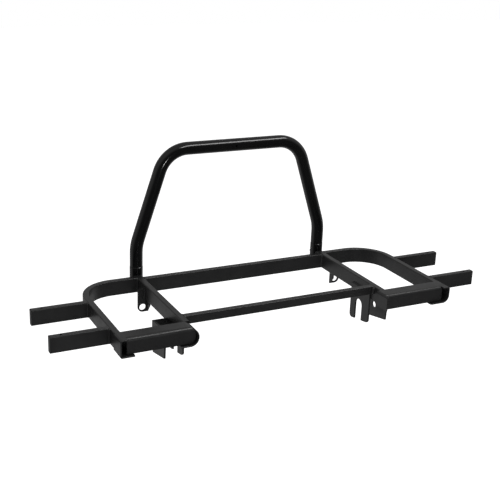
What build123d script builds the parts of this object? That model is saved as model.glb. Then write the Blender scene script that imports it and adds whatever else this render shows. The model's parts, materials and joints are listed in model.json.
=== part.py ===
from build123d import *
import os

# Ladder rack: a welded tube deck with a removable hoop, made to hang on a vehicle's rear.
# Millimetres. The origin is midway between the two rear lug holes: +X to the rack's right,
# +Y towards the hoop, +Z up. Apart from its front bars the rack is symmetric about the YZ
# plane, so each paired piece is drawn once on the right and mirrored.

os.makedirs("parts", exist_ok=True)

# Rectangular tube of the deck
rail_width = 20.0
rail_height = 50.0
rail_wall = 2.0
rail_corner = 3.0

# Deck layout, by tube centrelines unless a name says otherwise
deck_top = 76.0
deck_bottom = deck_top - rail_height
deck_middle = deck_top - rail_height / 2
side_rail_x = 554.0
side_rail_rear_y = 71.0
side_bend_radius = 112.0
cross_rail_x = 343.0
cross_rail_inner_x = cross_rail_x - rail_width / 2
cross_rail_outer_x = cross_rail_x + rail_width / 2
rear_rail_y = 58.0
front_rail_y = -271.0
front_rail_height = 28.0

# Outboard stubs, which carry the side attachments
stub_end_x = 738.0
stub_rear_y = -69.0
stub_front_y = -273.0
stub_hole_x = 704.0
stub_hole_radius = 4.25
cap_flange = 3.0
cap_plug_depth = 14.0
cap_plug_gap = 0.3
cap_plug_wall = 2.0

# Front bars: a flat strip bent into an open loop, closed in front by a bent face plate
bar_back_y = -317.0
bar_depth = 60.0
strip_thickness = 4.5
strip_outer_corner = 7.0
strip_edge = 1.8
bar_back_thickness = 4.0
face_outer_x = 543.0
face_front_y = -367.0
face_lift = 1.8
face_thickness = 5.0
face_bend_radius = 12.0

# Hoop of round tube, which stands on spigots in two sockets behind the deck
hoop_y = 106.0
hoop_leg_x = 342.0
hoop_shoulder_x = 240.0
hoop_foot_z = 101.0
hoop_knee_z = 172.0
hoop_top_z = 483.0
hoop_radius = 21.2
hoop_bore_radius = 19.1
hoop_knee_bend = 150.0
hoop_shoulder_bend = 100.0
hoop_hole_radius = 3.0
hoop_foot_chamfer = 1.2
socket_radius = 21.7
socket_bore_radius = 19.1
spigot_radius = 19.05
spigot_wall = 2.5
spigot_depth = 70.0
spigot_height = 30.0
cross_rail_end_y = hoop_y - socket_radius
lock_z = 62.0
lock_thread_radius = 4.0
lock_clearance = 0.2
lock_nut_radius = 7.5
lock_nut_depth = 6.5
lock_head_depth = 5.3

# Rear lugs: bent plates under the cross rails, whose holes lie on the origin's line
lug_hole_x = 360.0
lug_hole_radius = 11.0
lug_radius = 16.0
lug_thickness = 5.0
lug_inner_x = 340.0
lug_top = 62.0
lug_flange_depth = 20.0
lug_flange_front_bottom = 8.0

# Front brackets: a forked plate, an outer plate with a pivot hole, and a web between them
fork_thickness = 6.0
fork_rear_y = -160.0
fork_front_y = -269.0
fork_top = 48.0
fork_rear_bottom = -76.0
fork_front_bottom = -58.0
fork_corner = 13.0
slot_width = 39.0
slot_middle_y = -209.0
slot_top = 5.0
plate_inner_x = 390.0
plate_thickness = 6.0
plate_hole_y = -208.0
plate_hole_z = -24.0
plate_hole_radius = 11.0
plate_front_top = (-282.0, 40.0)
plate_front_bottom = (-277.0, -53.0)
plate_rear_bottom = (-185.0, -71.0)
web_front_y = -185.0
web_thickness = 6.0
plate_edge = 0.8
web_top = 32.5
web_bottom = -2.0


def tube_section(width, height):
    """Hollow tube section with rounded corners, about the sketch plane's origin."""
    RectangleRounded(width, height, rail_corner)
    RectangleRounded(
        width - 2 * rail_wall,
        height - 2 * rail_wall,
        rail_corner - rail_wall,
        mode=Mode.SUBTRACT,
    )


def export_one(piece, name):
    """Label a finished piece and write it."""
    piece.label = name
    export_step(piece, f"parts/{name}.step")


def export_pair(piece, name):
    """Write a piece drawn on the right, and its mirror image on the left."""
    export_one(mirror(piece, about=Plane.YZ), f"left_{name}")
    export_one(piece, f"right_{name}")


# Side rails: forward runs, bent inward at the rear to meet the cross rails
with BuildPart() as side_rail:
    with BuildLine(Plane.XY.offset(deck_middle)) as side_route:
        FilletPolyline(
            (side_rail_x, bar_back_y),
            (side_rail_x, side_rail_rear_y),
            (cross_rail_outer_x, side_rail_rear_y),
            radius=side_bend_radius,
        )
    with BuildSketch(Plane((side_rail_x, bar_back_y, deck_middle), (1, 0, 0), (0, 1, 0))):
        tube_section(rail_width, rail_height)
    sweep(path=side_route.wires()[0])
export_pair(side_rail.part, "side_rail")

# Cross rails: straight, from the front bar to just behind the side rail's return
with BuildPart() as cross_rail:
    with BuildSketch(Plane((cross_rail_x, cross_rail_end_y, deck_middle), (1, 0, 0), (0, -1, 0))):
        tube_section(rail_width, rail_height)
    extrude(amount=cross_rail_end_y - bar_back_y)
export_pair(cross_rail.part, "cross_rail")

# Centre rails between the cross rails: full height behind, shallower in front
with BuildPart() as rear_rail:
    with BuildSketch(Plane((-cross_rail_inner_x, rear_rail_y, deck_middle), (0, 1, 0), (1, 0, 0))):
        tube_section(rail_width, rail_height)
    extrude(amount=2 * cross_rail_inner_x)
export_one(rear_rail.part, "rear_centre_rail")

front_rail_middle = deck_top - front_rail_height / 2
with BuildPart() as front_rail:
    with BuildSketch(Plane((-cross_rail_inner_x, front_rail_y, front_rail_middle), (0, 1, 0), (1, 0, 0))):
        tube_section(rail_width, front_rail_height)
    extrude(amount=2 * cross_rail_inner_x)
export_one(front_rail.part, "front_centre_rail")

# Outboard stubs, each drilled down through both faces near its end, with a push-in cap
stub_start_x = side_rail_x + rail_width / 2
stub_tube_end_x = stub_end_x - cap_flange
for place, stub_y in (("rear", stub_rear_y), ("front", stub_front_y)):
    with BuildPart() as stub:
        with BuildSketch(Plane((stub_start_x, stub_y, deck_middle), (0, 1, 0), (1, 0, 0))):
            tube_section(rail_width, rail_height)
        extrude(amount=stub_tube_end_x - stub_start_x)
        with Locations((stub_hole_x, stub_y, deck_top)):
            Hole(radius=stub_hole_radius)
    export_pair(stub.part, f"{place}_stub")

    plug_width = rail_width - 2 * rail_wall - 2 * cap_plug_gap
    plug_height = rail_height - 2 * rail_wall - 2 * cap_plug_gap
    with BuildPart() as cap:
        with BuildSketch(Plane((stub_tube_end_x, stub_y, deck_middle), (0, 1, 0), (1, 0, 0))):
            RectangleRounded(rail_width, rail_height, rail_corner)
        extrude(amount=cap_flange)
        fillet(cap.faces().sort_by(Axis.X)[-1].edges(), radius=1.2)
        with BuildSketch(Plane((stub_tube_end_x, stub_y, deck_middle), (0, 1, 0), (1, 0, 0))):
            RectangleRounded(plug_width, plug_height, rail_corner - rail_wall)
            Rectangle(
                plug_width - 2 * cap_plug_wall,
                plug_height - 2 * cap_plug_wall,
                mode=Mode.SUBTRACT,
            )
        extrude(amount=-cap_plug_depth)
    export_pair(cap.part, f"{place}_stub_cap")

# Front bars: each loop is flat strip bent round the bar's outline and open below, a plate
# closes it behind, and the face plate bends back at the top to meet it flush. The two bars
# differ in their corners: the left one is wide at its inner end and tight at its outer end,
# and the right one is the other way round, with no return at its inner end.
bend_start_y = face_front_y + face_bend_radius
bar_front_y = bar_back_y - bar_depth


def bar_outline(inner_x, outer_x, bottom, bends):
    """Outline of a right-hand bar, with bends from the upper inner corner to the upper outer."""
    with BuildSketch(Plane.XZ.offset(-bar_back_y)) as outline:
        with Locations(((inner_x + outer_x) / 2, (deck_top + bottom) / 2)):
            Rectangle(outer_x - inner_x, deck_top - bottom)
        corners = (
            (inner_x, deck_top),
            (inner_x, bottom),
            (outer_x, bottom),
            (outer_x, deck_top),
        )
        for corner, bend in zip(corners, bends):
            fillet(outline.vertices().sort_by_distance(corner)[0], radius=bend)
    return outline


def bar_loop(inner_x, outer_x, bottom, bends, opening, lip_trim, face_inner_x):
    """Loop of strip, open below between the two x values of opening."""
    face_width = face_outer_x - face_inner_x
    face_middle_x = (face_inner_x + face_outer_x) / 2
    with BuildPart() as loop:
        with BuildSketch(Plane.XZ.offset(-bar_back_y)):
            add(bar_outline(inner_x, outer_x, bottom, bends).sketch_local)
            offset(amount=-strip_thickness, mode=Mode.SUBTRACT)
            with Locations(((opening[0] + opening[1]) / 2, bottom)):
                Rectangle(opening[1] - opening[0], 2 * strip_thickness, mode=Mode.SUBTRACT)
        extrude(amount=bar_depth)
        lip_corner = (opening[1], bar_front_y, bottom)
        chamfer(loop.edges().filter_by(Axis.Z).sort_by_distance(lip_corner)[0], length=lip_trim)
        fillet(loop.faces().sort_by(Axis.Y)[0].edges(), radius=strip_edge)
        with BuildSketch(Plane.XY.offset(deck_top)):
            with Locations((face_middle_x, (bend_start_y + bar_front_y) / 2)):
                Rectangle(face_width, bend_start_y - bar_front_y)
        extrude(amount=-bends[0] - strip_thickness, mode=Mode.SUBTRACT)
    return loop.part


def bar_back(inner_x, outer_x, bottom, bends):
    """Plate that closes the loop behind, against the ends of the deck tubes."""
    with BuildPart() as plate:
        with BuildSketch(Plane.XZ.offset(-bar_back_y)):
            add(bar_outline(inner_x, outer_x, bottom, bends).sketch_local)
            offset(amount=-strip_thickness, mode=Mode.REPLACE)
        extrude(amount=bar_back_thickness)
    return plate.part


def bar_face(loop_bottom, face_inner_x, upper_corner, lower_corner):
    """Face plate of a right-hand bar, just above the loop's return."""
    face_bottom = loop_bottom + strip_thickness + face_lift
    face_width = face_outer_x - face_inner_x
    face_middle_x = (face_inner_x + face_outer_x) / 2
    with BuildPart() as face:
        with BuildSketch(Plane.YZ.offset(face_inner_x)):
            with BuildLine():
                Line((face_front_y, face_bottom), (face_front_y, deck_top - face_bend_radius))
                RadiusArc(
                    (face_front_y, deck_top - face_bend_radius),
                    (bend_start_y, deck_top),
                    face_bend_radius,
                )
                Line((bend_start_y, deck_top), (bend_start_y, deck_top - face_thickness))
                RadiusArc(
                    (bend_start_y, deck_top - face_thickness),
                    (face_front_y + face_thickness, deck_top - face_bend_radius),
                    face_thickness - face_bend_radius,
                )
                Polyline(
                    (face_front_y + face_thickness, deck_top - face_bend_radius),
                    (face_front_y + face_thickness, face_bottom),
                    (face_front_y, face_bottom),
                )
            make_face()
        extrude(amount=face_width)
        with BuildSketch(Plane.XZ.offset(-bend_start_y)) as outline:
            with Locations((face_middle_x, (face_bottom + deck_top) / 2)):
                Rectangle(face_width, deck_top - face_bottom)
            for corner, corner_radius in (
                ((face_inner_x, deck_top), upper_corner),
                ((face_inner_x, face_bottom), lower_corner),
            ):
                fillet(outline.vertices().sort_by_distance(corner)[0], radius=corner_radius)
        extrude(amount=face_bend_radius, mode=Mode.INTERSECT)
    return face.part


left_outline = (325.5, 565.0, 20.5, (27.0, 27.0, 6.0, strip_outer_corner))
right_outline = (321.5, 568.0, 22.0, (8.0, 3.0, 24.0, strip_outer_corner))
left_bar = {
    "front_loop": bar_loop(*left_outline, (382.0, 521.0), 2.0, 333.0),
    "bar_back": bar_back(*left_outline),
    "face_plate": bar_face(left_outline[2], 333.0, 19.0, 19.0),
}
right_bar = {
    "front_loop": bar_loop(*right_outline, (316.0, 497.0), 6.0, 326.0),
    "bar_back": bar_back(*right_outline),
    "face_plate": bar_face(right_outline[2], 326.0, 3.0, 2.0),
}
for name, piece in left_bar.items():
    export_one(mirror(piece, about=Plane.YZ), f"left_{name}")
for name, piece in right_bar.items():
    export_one(piece, f"right_{name}")

# Hoop: one round tube, legs upright at the foot, leaning in above the knee
with BuildPart() as hoop:
    with BuildLine(Plane.XZ.offset(-hoop_y)) as hoop_route:
        FilletPolyline(
            (-hoop_leg_x, hoop_foot_z),
            (-hoop_leg_x, hoop_knee_z),
            (-hoop_shoulder_x, hoop_top_z),
            (hoop_shoulder_x, hoop_top_z),
            (hoop_leg_x, hoop_knee_z),
            (hoop_leg_x, hoop_foot_z),
            radius=(hoop_knee_bend, hoop_shoulder_bend, hoop_shoulder_bend, hoop_knee_bend),
        )
    with BuildSketch(Plane((-hoop_leg_x, hoop_y, hoop_foot_z), (1, 0, 0), (0, 0, 1))):
        Circle(hoop_radius)
        Circle(hoop_bore_radius, mode=Mode.SUBTRACT)
    sweep(path=hoop_route.wires()[0])
    foot_rims = hoop.edges().group_by(Axis.Z)[0].sort_by(SortBy.LENGTH)[-2:]
    chamfer(foot_rims, length=hoop_foot_chamfer)
    with Locations(Plane((0, hoop_y - hoop_radius, hoop_top_z), (1, 0, 0), (0, -1, 0))):
        Hole(radius=hoop_hole_radius, depth=hoop_radius)
export_one(hoop.part, "hoop")

# Spigots fixed in the hoop's feet, which drop into the sockets
with BuildPart() as spigot:
    with BuildSketch(Plane.XY.offset(hoop_foot_z - spigot_depth)):
        with Locations((hoop_leg_x, hoop_y)):
            Circle(spigot_radius)
            Circle(spigot_radius - spigot_wall, mode=Mode.SUBTRACT)
    extrude(amount=spigot_depth + spigot_height)
    chamfer(spigot.edges().group_by(Axis.Z)[0], length=1.0)
export_pair(spigot.part, "hoop_spigot")

# Sockets welded behind the deck, each with a tapped boss and a locking screw at the back
with BuildPart() as socket:
    with BuildSketch(Plane.XY.offset(deck_bottom)):
        with Locations((hoop_leg_x, hoop_y)):
            Circle(socket_radius)
            Circle(socket_bore_radius, mode=Mode.SUBTRACT)
    extrude(amount=hoop_foot_z - deck_bottom)
    top_rim = socket.edges().group_by(Axis.Z)[-1].sort_by(SortBy.LENGTH)[-1]
    chamfer(top_rim, length=hoop_foot_chamfer)
    with BuildSketch(Plane((hoop_leg_x, hoop_y, lock_z), (1, 0, 0), (0, 1, 0))):
        Circle(lock_thread_radius + lock_clearance)
    extrude(amount=socket_radius + lock_nut_depth, mode=Mode.SUBTRACT)
export_pair(socket.part, "hoop_socket")

nut_back_y = hoop_y + socket_radius + lock_nut_depth
with BuildPart() as lock_nut:
    with BuildSketch(Plane((hoop_leg_x, hoop_y, lock_z), (1, 0, 0), (0, 1, 0))):
        RegularPolygon(lock_nut_radius, 6)
        Circle(lock_thread_radius + lock_clearance / 2, mode=Mode.SUBTRACT)
    extrude(amount=socket_radius + lock_nut_depth)
    with Locations((hoop_leg_x, hoop_y, lock_z)):
        Cylinder(socket_radius, rail_height, mode=Mode.SUBTRACT)
export_pair(lock_nut.part, "lock_nut")

with BuildPart() as lock_screw:
    with BuildSketch(Plane((hoop_leg_x, nut_back_y, lock_z), (1, 0, 0), (0, 1, 0))):
        RegularPolygon(lock_nut_radius, 6)
    extrude(amount=lock_head_depth)
    with BuildSketch(Plane((hoop_leg_x, nut_back_y, lock_z), (1, 0, 0), (0, -1, 0))):
        Circle(lock_thread_radius)
    extrude(amount=nut_back_y - hoop_y - spigot_radius - lock_clearance)
export_pair(lock_screw.part, "lock_screw")

# Rear lugs: a hung plate with a round eye, and a flange bent forward under the cross rail
lug_outer_x = lug_hole_x + lug_radius
with BuildPart() as rear_lug:
    with BuildSketch(Plane.XZ.offset(-lug_thickness / 2)):
        with BuildLine():
            Polyline(
                (lug_outer_x, 0),
                (lug_outer_x, lug_top),
                (cross_rail_outer_x, lug_top),
                (cross_rail_outer_x, deck_bottom),
                (lug_inner_x, deck_bottom),
                (lug_inner_x, -lug_radius),
                (lug_hole_x, -lug_radius),
            )
            RadiusArc((lug_hole_x, -lug_radius), (lug_outer_x, 0), -lug_radius)
        make_face()
        with Locations((lug_hole_x, 0)):
            Circle(lug_hole_radius, mode=Mode.SUBTRACT)
    extrude(amount=lug_thickness)
    with BuildSketch(Plane.YZ.offset(lug_inner_x)):
        with BuildLine():
            Polyline(
                (0, deck_bottom),
                (-lug_flange_depth, deck_bottom),
                (-lug_flange_depth, lug_flange_front_bottom),
                (0, -lug_radius),
                close=True,
            )
        make_face()
    extrude(amount=lug_thickness)
export_pair(rear_lug.part, "rear_lug")

# Forked plates on the cross rails' inner faces, with an inverted U slot and a sloping foot
foot_slope = (fork_front_bottom - fork_rear_bottom) / (fork_rear_y - fork_front_y)
slot_front_drop = foot_slope * (slot_middle_y - slot_width / 2 - fork_front_y)
slot_rear_rise = foot_slope * (fork_rear_y - slot_middle_y - slot_width / 2)
with BuildPart() as fork_plate:
    with BuildSketch(Plane.YZ.offset(cross_rail_inner_x - fork_thickness)) as fork:
        with BuildLine():
            Polyline(
                (fork_rear_y, fork_top),
                (fork_front_y, fork_top),
                (fork_front_y, fork_front_bottom),
                (slot_middle_y - slot_width / 2, fork_front_bottom - slot_front_drop),
                (slot_middle_y - slot_width / 2, slot_top - slot_width / 2),
            )
            ThreePointArc(
                (slot_middle_y - slot_width / 2, slot_top - slot_width / 2),
                (slot_middle_y, slot_top),
                (slot_middle_y + slot_width / 2, slot_top - slot_width / 2),
            )
            Polyline(
                (slot_middle_y + slot_width / 2, slot_top - slot_width / 2),
                (slot_middle_y + slot_width / 2, fork_rear_bottom + slot_rear_rise),
                (fork_rear_y, fork_rear_bottom),
                (fork_rear_y, fork_top),
            )
        make_face()
        for corner in ((fork_rear_y, fork_rear_bottom), (fork_front_y, fork_front_bottom)):
            fillet(fork.vertices().sort_by_distance(corner)[0], radius=fork_corner)
    extrude(amount=fork_thickness)
    fillet(fork_plate.faces().sort_by(Axis.X)[0].outer_wire().edges(), radius=plate_edge)
export_pair(fork_plate.part, "fork_plate")

# Outer plates of the brackets, each with a pivot hole
with BuildPart() as outer_plate:
    with BuildSketch(Plane.YZ.offset(plate_inner_x)) as plate:
        with BuildLine():
            Polyline(
                (web_front_y, web_top),
                plate_front_top,
                plate_front_bottom,
                plate_rear_bottom,
                close=True,
            )
        make_face()
        with Locations((plate_hole_y, plate_hole_z)):
            Circle(plate_hole_radius, mode=Mode.SUBTRACT)
    extrude(amount=plate_thickness)
    fillet(outer_plate.faces().sort_by(Axis.X)[-1].outer_wire().edges(), radius=plate_edge)
export_pair(outer_plate.part, "outer_plate")

# Webs that close the brackets behind, notched round the cross rail
with BuildPart() as back_web:
    with BuildSketch(Plane.XZ.offset(-web_front_y)) as web:
        with BuildLine():
            Polyline(
                (cross_rail_inner_x, deck_bottom),
                (cross_rail_outer_x, deck_bottom),
                (cross_rail_outer_x, web_top),
                (plate_inner_x + plate_thickness, web_top),
                (plate_inner_x + plate_thickness, web_bottom),
                (cross_rail_inner_x, web_bottom),
                close=True,
            )
        make_face()
    extrude(amount=-web_thickness)
export_pair(back_web.part, "back_web")
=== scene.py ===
import json
import math

import bmesh
import bpy
from mathutils import Matrix, Vector


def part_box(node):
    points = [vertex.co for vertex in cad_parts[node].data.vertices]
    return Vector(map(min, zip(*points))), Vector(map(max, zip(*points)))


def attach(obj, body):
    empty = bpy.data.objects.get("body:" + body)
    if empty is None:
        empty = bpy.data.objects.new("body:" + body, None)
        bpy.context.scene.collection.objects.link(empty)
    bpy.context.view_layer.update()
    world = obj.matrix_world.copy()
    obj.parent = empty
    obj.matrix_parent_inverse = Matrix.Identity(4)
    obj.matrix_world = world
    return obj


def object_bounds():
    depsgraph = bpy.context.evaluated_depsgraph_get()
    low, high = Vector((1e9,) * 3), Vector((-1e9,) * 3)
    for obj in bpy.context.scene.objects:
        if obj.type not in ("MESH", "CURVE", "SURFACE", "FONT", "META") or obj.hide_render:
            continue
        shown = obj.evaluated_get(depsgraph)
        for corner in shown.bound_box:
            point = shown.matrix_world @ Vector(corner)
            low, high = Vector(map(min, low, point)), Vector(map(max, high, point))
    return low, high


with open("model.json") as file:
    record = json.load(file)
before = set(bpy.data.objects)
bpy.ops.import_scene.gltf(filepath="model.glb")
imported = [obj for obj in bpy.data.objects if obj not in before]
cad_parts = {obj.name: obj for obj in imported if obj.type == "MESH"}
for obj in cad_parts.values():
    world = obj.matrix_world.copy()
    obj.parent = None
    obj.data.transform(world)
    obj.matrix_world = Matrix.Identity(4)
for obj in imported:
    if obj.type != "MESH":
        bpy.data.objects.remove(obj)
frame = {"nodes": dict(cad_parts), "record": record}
cad_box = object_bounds()

MM = 0.001


# ---------------------------------------------------------------- materials

NOISE_LOW = 0.3
NOISE_HIGH = 0.7
CLOUD_SCALE = 9.0
CLOUD_DARK_AT = 0.35
CLOUD_LIGHT_AT = 0.70
GLOSS_SCALE = 34.0
GRAIN_FINENESS = 4.5
GRAIN_SHARE = 0.25
PEEL_STRENGTH = 0.6


def new_material(name):
    """A material with an empty node tree apart from its shader and output."""
    material = bpy.data.materials.new(name)
    material.use_nodes = True
    tree = material.node_tree
    tree.nodes.clear()
    output = tree.nodes.new("ShaderNodeOutputMaterial")
    shader = tree.nodes.new("ShaderNodeBsdfPrincipled")
    tree.links.new(shader.outputs["BSDF"], output.inputs["Surface"])
    return material, tree, shader


def noise(tree, coordinates, scale, detail=2.0, roughness=0.5):
    """A noise texture in object space, with scale in features per metre."""
    node = tree.nodes.new("ShaderNodeTexNoise")
    node.inputs["Scale"].default_value = scale
    node.inputs["Detail"].default_value = detail
    node.inputs["Roughness"].default_value = roughness
    tree.links.new(coordinates.outputs["Object"], node.inputs["Vector"])
    return node


def spread(tree, source, low, high):
    """Maps a noise's middle range to low..high."""
    node = tree.nodes.new("ShaderNodeMapRange")
    node.inputs["From Min"].default_value = NOISE_LOW
    node.inputs["From Max"].default_value = NOISE_HIGH
    node.inputs["To Min"].default_value = low
    node.inputs["To Max"].default_value = high
    tree.links.new(source.outputs["Fac"], node.inputs["Value"])
    return node


def coated(name, dark, light, smooth, rough, peel_scale, peel_height, ior, metallic=0.0):
    """A coating whose colour clouds from dark to light, whose roughness wanders from smooth
    to rough, and whose orange peel has two scales. peel_height is in metres."""
    material, tree, shader = new_material(name)
    coordinates = tree.nodes.new("ShaderNodeTexCoord")
    clouds = noise(tree, coordinates, CLOUD_SCALE, detail=5.0, roughness=0.6)
    ramp = tree.nodes.new("ShaderNodeValToRGB")
    ramp.color_ramp.elements[0].position = CLOUD_DARK_AT
    ramp.color_ramp.elements[1].position = CLOUD_LIGHT_AT
    ramp.color_ramp.elements[0].color = (*dark, 1.0)
    ramp.color_ramp.elements[1].color = (*light, 1.0)
    tree.links.new(clouds.outputs["Fac"], ramp.inputs["Fac"])
    tree.links.new(ramp.outputs["Color"], shader.inputs["Base Color"])
    gloss = spread(tree, noise(tree, coordinates, GLOSS_SCALE, detail=4.0), smooth, rough)
    tree.links.new(gloss.outputs["Result"], shader.inputs["Roughness"])
    peel = noise(tree, coordinates, peel_scale, detail=2.0)
    grain = noise(tree, coordinates, peel_scale * GRAIN_FINENESS, detail=1.0)
    both = tree.nodes.new("ShaderNodeMath")
    both.operation = "MULTIPLY_ADD"
    both.inputs[1].default_value = GRAIN_SHARE
    tree.links.new(grain.outputs["Fac"], both.inputs[0])
    tree.links.new(peel.outputs["Fac"], both.inputs[2])
    bump = tree.nodes.new("ShaderNodeBump")
    bump.inputs["Strength"].default_value = PEEL_STRENGTH
    bump.inputs["Distance"].default_value = peel_height
    tree.links.new(both.outputs["Value"], bump.inputs["Height"])
    tree.links.new(bump.outputs["Normal"], shader.inputs["Normal"])
    shader.inputs["IOR"].default_value = ior
    shader.inputs["Metallic"].default_value = metallic
    return material


frame_paint = coated(
    "satin_black_powder_coat", dark=(0.0112, 0.0112, 0.0115), light=(0.0160, 0.0160, 0.0163),
    smooth=0.31, rough=0.40, peel_scale=260.0, peel_height=0.000025, ior=1.5,
)
hoop_paint = coated(
    "gloss_black_powder_coat", dark=(0.0024, 0.0024, 0.0026), light=(0.0042, 0.0042, 0.0044),
    smooth=0.11, rough=0.16, peel_scale=210.0, peel_height=0.00001, ior=1.5,
)
cap_plastic = coated(
    "moulded_black_plastic", dark=(0.0100, 0.0100, 0.0103), light=(0.0150, 0.0150, 0.0153),
    smooth=0.42, rough=0.55, peel_scale=900.0, peel_height=0.00005, ior=1.45,
)
black_zinc = coated(
    "black_zinc_plate", dark=(0.060, 0.060, 0.064), light=(0.110, 0.110, 0.115),
    smooth=0.28, rough=0.44, peel_scale=700.0, peel_height=0.00003, ior=1.5, metallic=0.9,
)
SLOT_MATERIALS = {
    "frame_paint": frame_paint,
    "hoop_paint": hoop_paint,
    "stub_cap": cap_plastic,
    "fastener": black_zinc,
}
# The sockets are as glossy as the hoop's legs that stand on them
GLOSSY_NODES = ("left_hoop_socket", "right_hoop_socket")
for subpart in frame["record"]["subparts"]:
    node = frame["nodes"][subpart["node"]]
    slot = subpart["material_slot"]
    node.data.materials.clear()
    node.data.materials.append(hoop_paint if subpart["node"] in GLOSSY_NODES else SLOT_MATERIALS[slot])


# ---------------------------------------------------------------- weld beads

RIPPLE_PITCH = 2.6 * MM
RIPPLE_BOW = 1.6 * MM
RING_STEP = 0.65 * MM
FEWEST_RINGS = 12
PROFILE_STEPS = 8
ROOT_DEPTH = 0.4 * MM
SEAM_END = 1.0 * MM
END_TAPER = 0.8
END_SHARE = 0.12
CROWN_HEIGHT = 0.16
RIPPLE_HEIGHT = 0.10
# Each wander of a bead's width: its share of the width, its length and its phase factor
WANDERS = ((0.07, 7.1 * MM, 1.0), (0.04, 2.9 * MM, 2.0))


def add_bead(mesh, start, end, along_a, along_b, leg):
    """Adds a rippled fillet from start to end to mesh. along_a and along_b lie in the two
    welded faces, away from the seam, and leg is how far the bead reaches along each."""
    start, end = Vector(start), Vector(end)
    a, b = along_a.normalized(), along_b.normalized()
    outward = (a + b).normalized()
    length = (end - start).length
    run = (end - start).normalized()
    rings = max(FEWEST_RINGS, round(length / RING_STEP))
    # Beads in different places ripple out of step
    phase = 73.0 * (start.x + 2.0 * start.y + 3.0 * start.z)
    loops = []
    for i in range(rings + 1):
        s = length * i / rings
        taper = math.sqrt(min(1.0, END_SHARE + min(s, length - s) / (END_TAPER * leg)))
        width = leg * (1.0 + sum(w * math.sin(s / wave + k * phase) for w, wave, k in WANDERS))
        loop = [mesh.verts.new(start + run * s - outward * ROOT_DEPTH)]
        for j in range(PROFILE_STEPS + 1):
            t = j / PROFILE_STEPS
            crown = 4.0 * t * (1.0 - t)
            ripple = abs(math.sin(math.pi * (s + RIPPLE_BOW * crown) / RIPPLE_PITCH + phase))
            bulge = leg * crown * (CROWN_HEIGHT + RIPPLE_HEIGHT * ripple)
            point = (a * (1.0 - t) + b * t) * width + outward * bulge
            loop.append(mesh.verts.new(start + run * s + point * taper))
        loops.append(loop)
    count = PROFILE_STEPS + 2
    for first, second in zip(loops, loops[1:]):
        for j in range(count):
            k = (j + 1) % count
            mesh.faces.new((first[j], first[k], second[k], second[j]))
    mesh.faces.new(list(reversed(loops[0])))
    mesh.faces.new(loops[-1])


def weld(name, seams):
    """One painted piece of the beads along seams, each (start, end, along_a, along_b, leg)."""
    mesh = bmesh.new()
    for seam in seams:
        add_bead(mesh, *seam)
    bmesh.ops.recalc_face_normals(mesh, faces=mesh.faces)
    data = bpy.data.meshes.new(name)
    mesh.to_mesh(data)
    mesh.free()
    data.polygons.foreach_set("use_smooth", [True] * len(data.polygons))
    data.materials.append(frame_paint)
    piece = bpy.data.objects.new(name, data)
    bpy.context.scene.collection.objects.link(piece)
    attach(piece, "frame")


def inner_x(node, sign):
    """The x of the node's face nearest the rack's middle, on the side that sign gives."""
    low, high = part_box(node)
    return low.x if sign > 0 else high.x


def outer_x(node, sign):
    """The x of the node's face furthest from the rack's middle, on the side that sign gives."""
    return inner_x(node, -sign)


def upright(x, y, low, high):
    """Start and end of a vertical seam, just short of both ends."""
    return (x, y, low + SEAM_END), (x, y, high - SEAM_END)


def lengthwise(x, y_front, y_rear, z):
    """Start and end of a seam along Y."""
    return (x, y_front, z), (x, y_rear, z)


def crosswise(x_inner, x_outer, y, z):
    """Start and end of a seam along X."""
    return (x_inner, y, z), (x_outer, y, z)


FORWARD = Vector((0, -1, 0))
BACK = Vector((0, 1, 0))
DOWN = Vector((0, 0, -1))
UP = Vector((0, 0, 1))

# How far the beads reach along each welded face
TUBE_LEG = 6.0 * MM
FRONT_RAIL_LEG = 7.0 * MM
RETURN_LEG = 3.0 * MM
SOCKET_LEG = 5.5 * MM
BAR_LEG = 5.0 * MM
PLATE_LEG = 4.5 * MM
THIN_LEG = 4.0 * MM
LUG_LEG = 3.5 * MM

# A socket curves away behind the cross rail's end: its seams start a little off that end and
# their outer faces lean back
SOCKET_SEAM_OFFSET = 1.2 * MM
SOCKET_LEAN = (0.87, 0.5)
BAR_SEAM_DROP = 1.0 * MM

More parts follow.
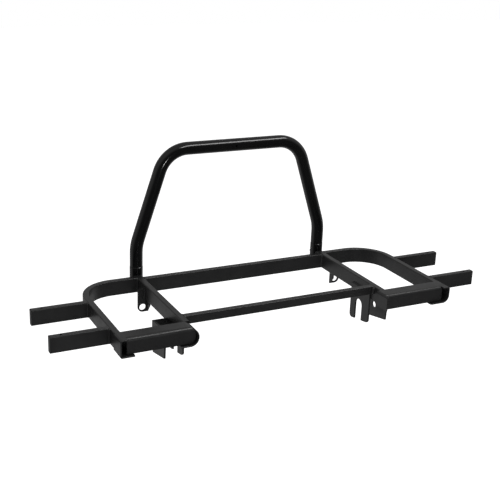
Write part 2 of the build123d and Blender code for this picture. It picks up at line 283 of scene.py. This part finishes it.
for side, sign in (("left", -1), ("right", 1)):
    outward = Vector((sign, 0, 0))
    inward = -outward
    cross_low, cross_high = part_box(f"{side}_cross_rail")
    cross_inner = inner_x(f"{side}_cross_rail", sign)
    cross_outer = outer_x(f"{side}_cross_rail", sign)
    deck_bottom, deck_top = cross_low.z, cross_high.z
    rail_width = cross_high.x - cross_low.x
    fork_low, fork_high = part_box(f"{side}_fork_plate")

    # Centre rails against the cross rail
    rear_low, rear_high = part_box("rear_centre_rail")
    weld(f"{side}_rear_rail_weld", [
        (*upright(cross_inner, y, deck_bottom, deck_top), inward, away, TUBE_LEG)
        for y, away in ((rear_low.y, FORWARD), (rear_high.y, BACK))
    ])
    rail_low, rail_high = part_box("front_centre_rail")
    weld(f"{side}_front_rail_weld", [
        (*upright(cross_inner, y, rail_low.z, deck_top), inward, away, FRONT_RAIL_LEG)
        for y, away in ((rail_low.y, FORWARD), (rail_high.y, BACK))
    ] + [
        (*lengthwise(cross_inner, rail_low.y + SEAM_END, fork_low.y, rail_low.z), inward, DOWN, THIN_LEG),
    ])

    # Stubs against the side rail, and the side rail's return against the cross rail
    for place in ("rear", "front"):
        stub_low, stub_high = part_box(f"{side}_{place}_stub")
        seam_x = inner_x(f"{side}_{place}_stub", sign)
        weld(f"{side}_{place}_stub_weld", [
            (*upright(seam_x, y, deck_bottom, deck_top), outward, away, TUBE_LEG)
            for y, away in ((stub_low.y, FORWARD), (stub_high.y, BACK))
        ])
    return_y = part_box(f"{side}_side_rail")[1].y
    weld(f"{side}_side_rail_weld", [
        (*upright(cross_outer, return_y - rail_width, deck_bottom, deck_top), outward, FORWARD, TUBE_LEG),
        (*upright(cross_outer, return_y, deck_bottom, deck_top), outward, BACK, RETURN_LEG),
    ])

    # Hoop socket against the cross rail's end
    sideways, backwards = SOCKET_LEAN
    weld(f"{side}_socket_weld", [
        (
            *upright(x, cross_high.y + SOCKET_SEAM_OFFSET, deck_bottom, deck_top),
            FORWARD, away * sideways + BACK * backwards, SOCKET_LEG,
        )
        for x, away in ((cross_inner, inward), (cross_outer, outward))
    ])

    # Rear lug beside and under the cross rail
    lug_low, lug_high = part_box(f"{side}_rear_lug")
    lug_inner = inner_x(f"{side}_rear_lug", sign)
    plate_half = lug_high.y
    weld(f"{side}_rear_lug_weld", [
        (*upright(cross_outer, y, deck_bottom, lug_high.z), outward, away, THIN_LEG)
        for y, away in ((-plate_half, FORWARD), (plate_half, BACK))
    ] + [
        (*crosswise(lug_inner, cross_outer, plate_half, deck_bottom), BACK, DOWN, LUG_LEG),
        (*lengthwise(lug_inner, lug_low.y + SEAM_END, plate_half, deck_bottom), inward, DOWN, THIN_LEG),
    ])

    # Front bracket: the fork plate round the cross rail, then the web and the outer plate
    web_low, web_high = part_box(f"{side}_back_web")
    fork_end_y = fork_high.y - SEAM_END
    weld(f"{side}_fork_plate_weld", [
        (*lengthwise(cross_inner, rail_high.y, fork_end_y, fork_high.z), inward, UP, PLATE_LEG),
        (*upright(cross_inner, fork_high.y, deck_bottom, fork_high.z), inward, BACK, PLATE_LEG),
        (*lengthwise(cross_inner, fork_low.y + SEAM_END, web_low.y, deck_bottom), outward, DOWN, THIN_LEG),
        (*lengthwise(cross_inner, web_high.y, fork_end_y, deck_bottom), outward, DOWN, THIN_LEG),
    ])
    plate_inner = inner_x(f"{side}_outer_plate", sign)
    weld(f"{side}_bracket_weld", [
        (*crosswise(cross_inner, cross_outer, web_low.y, deck_bottom), FORWARD, DOWN, THIN_LEG),
        (*crosswise(cross_inner, cross_outer, web_high.y, deck_bottom), BACK, DOWN, THIN_LEG),
        (*upright(cross_inner, web_low.y, web_low.z, deck_bottom), outward, FORWARD, THIN_LEG),
        (*upright(plate_inner, web_low.y, web_low.z, web_high.z), inward, FORWARD, PLATE_LEG),
    ])

    # Front bar against the ends of the cross rail and the side rail
    bar_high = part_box(f"{side}_bar_back")[1]
    side_inner = outer_x(f"{side}_side_rail", sign) - sign * rail_width
    weld(f"{side}_front_bar_weld", [
        (*upright(x, bar_high.y, deck_bottom, bar_high.z - BAR_SEAM_DROP), BACK, away, BAR_LEG)
        for x, away in ((cross_outer, outward), (side_inner, inward))
    ])


# ---------------------------------------------------------------- stage

def camera_matrix(yaw, pitch, roll, place):
    """Camera looking yaw degrees from +Y towards +X, pitch degrees down, rolled by roll."""
    a, b, c = (math.radians(v) for v in (yaw, pitch, roll))
    look = Vector((math.sin(a) * math.cos(b), math.cos(a) * math.cos(b), -math.sin(b)))
    level = Vector((math.cos(a), -math.sin(a), 0.0))
    above = level.cross(look)
    right = level * math.cos(c) + above * math.sin(c)
    over = above * math.cos(c) - level * math.sin(c)
    matrix = Matrix((right, over, -look)).transposed().to_4x4()
    matrix.translation = Vector(place)
    return matrix


CAMERA_ANGLES = (27.0129, 18.6122, 2.1987)
CAMERA_PLACE = (-1.35907, -2.66672, 1.19748)

camera_data = bpy.data.cameras.new("camera")
camera_data.lens = 68.72
camera_data.sensor_width = 36.0
camera_data.shift_x = 0.0098
camera_data.shift_y = -0.0230
camera_data.clip_end = 50.0
camera = bpy.data.objects.new("camera", camera_data)
bpy.context.scene.collection.objects.link(camera)
camera.matrix_world = camera_matrix(*CAMERA_ANGLES, CAMERA_PLACE)
bpy.context.scene.camera = camera

# A pale floor, well below the rack so that no shadow shows, and left out of the paint's reflections
FLOOR_DROP = 0.45
FLOOR_HALF = 12.0
FLOOR_GLOW = 0.80

floor_z = cad_box[0].z - FLOOR_DROP
floor_mesh = bpy.data.meshes.new("floor")
floor_corners = [
    (x * FLOOR_HALF, y * FLOOR_HALF, floor_z)
    for x, y in ((-1, -1), (1, -1), (1, 1), (-1, 1))
]
floor_mesh.from_pydata(floor_corners, [], [(0, 1, 2, 3)])
floor = bpy.data.objects.new("floor", floor_mesh)
bpy.context.scene.collection.objects.link(floor)
floor_material, _, floor_shader = new_material("pale_floor")
floor_shader.inputs["Base Color"].default_value = (0.90, 0.90, 0.90, 1.0)
floor_shader.inputs["Roughness"].default_value = 0.9
floor_shader.inputs["Specular IOR Level"].default_value = 0.1
floor_shader.inputs["Emission Color"].default_value = (1.0, 1.0, 1.0, 1.0)
floor_shader.inputs["Emission Strength"].default_value = FLOOR_GLOW
floor_mesh.materials.append(floor_material)
floor.visible_glossy = False

# A white backdrop. What the paint reflects is dark on the side the rack is seen from,
# brightest to its sides and a little dimmer behind it.
ROOM_BEHIND = (0.05, 0.90, 0.42)
# Each (place, brightness), with place 0 on the near side and 1 behind
ROOM_LEVELS = ((0.05, 0.06), (0.25, 0.07), (0.55, 0.48), (0.78, 0.36), (1.0, 0.38))

world = bpy.data.worlds.new("studio")
bpy.context.scene.world = world
world.use_nodes = True
room = world.node_tree
backdrop = room.nodes["Background"]
direction = room.nodes.new("ShaderNodeTexCoord")
towards = room.nodes.new("ShaderNodeVectorMath")
towards.operation = "DOT_PRODUCT"
towards.inputs[1].default_value = ROOM_BEHIND
turn = room.nodes.new("ShaderNodeMapRange")
turn.inputs["From Min"].default_value = -1.0
turn.inputs["From Max"].default_value = 1.0
levels = room.nodes.new("ShaderNodeValToRGB")
stops = levels.color_ramp.elements
while len(stops) < len(ROOM_LEVELS):
    stops.new(0.5)
for stop, (position, level) in zip(stops, ROOM_LEVELS):
    stop.position = position
    stop.color = (level, level, level, 1.0)
paths = room.nodes.new("ShaderNodeLightPath")
choice = room.nodes.new("ShaderNodeMix")
choice.data_type = "FLOAT"
choice.inputs["B"].default_value = 1.0
room.links.new(direction.outputs["Generated"], towards.inputs[0])
room.links.new(towards.outputs["Value"], turn.inputs["Value"])
room.links.new(turn.outputs["Result"], levels.inputs["Fac"])
room.links.new(paths.outputs["Is Camera Ray"], choice.inputs["Factor"])
room.links.new(levels.outputs["Color"], choice.inputs["A"])
room.links.new(choice.outputs["Result"], backdrop.inputs["Strength"])
backdrop.inputs["Color"].default_value = (1.0, 1.0, 1.0, 1.0)


def softbox(name, place, target, width, height, power):
    """An area light that faces target and isn't seen by the camera."""
    data = bpy.data.lights.new(name, "AREA")
    data.shape = "RECTANGLE"
    data.size = width
    data.size_y = height
    data.energy = power
    lamp = bpy.data.objects.new(name, data)
    bpy.context.scene.collection.objects.link(lamp)
    lamp.location = place
    lamp.rotation_mode = "QUATERNION"
    lamp.rotation_quaternion = (Vector(target) - Vector(place)).to_track_quat("-Z", "Y")
    lamp.visible_camera = False


# A long light over the rack for the streak on the hoop's top, and a small one in front for the
# spot on its upper left bend
softbox("top_light", place=(1.1, -1.1, 2.7), target=(0.0, 0.0, 0.2), width=2.6, height=0.5, power=34.0)
softbox(
    "front_light", place=(-0.38, -2.88, 0.60), target=(-0.27, 0.106, 0.45),
    width=0.30, height=0.30, power=7.0,
)

bpy.context.scene.view_settings.view_transform = "Standard"
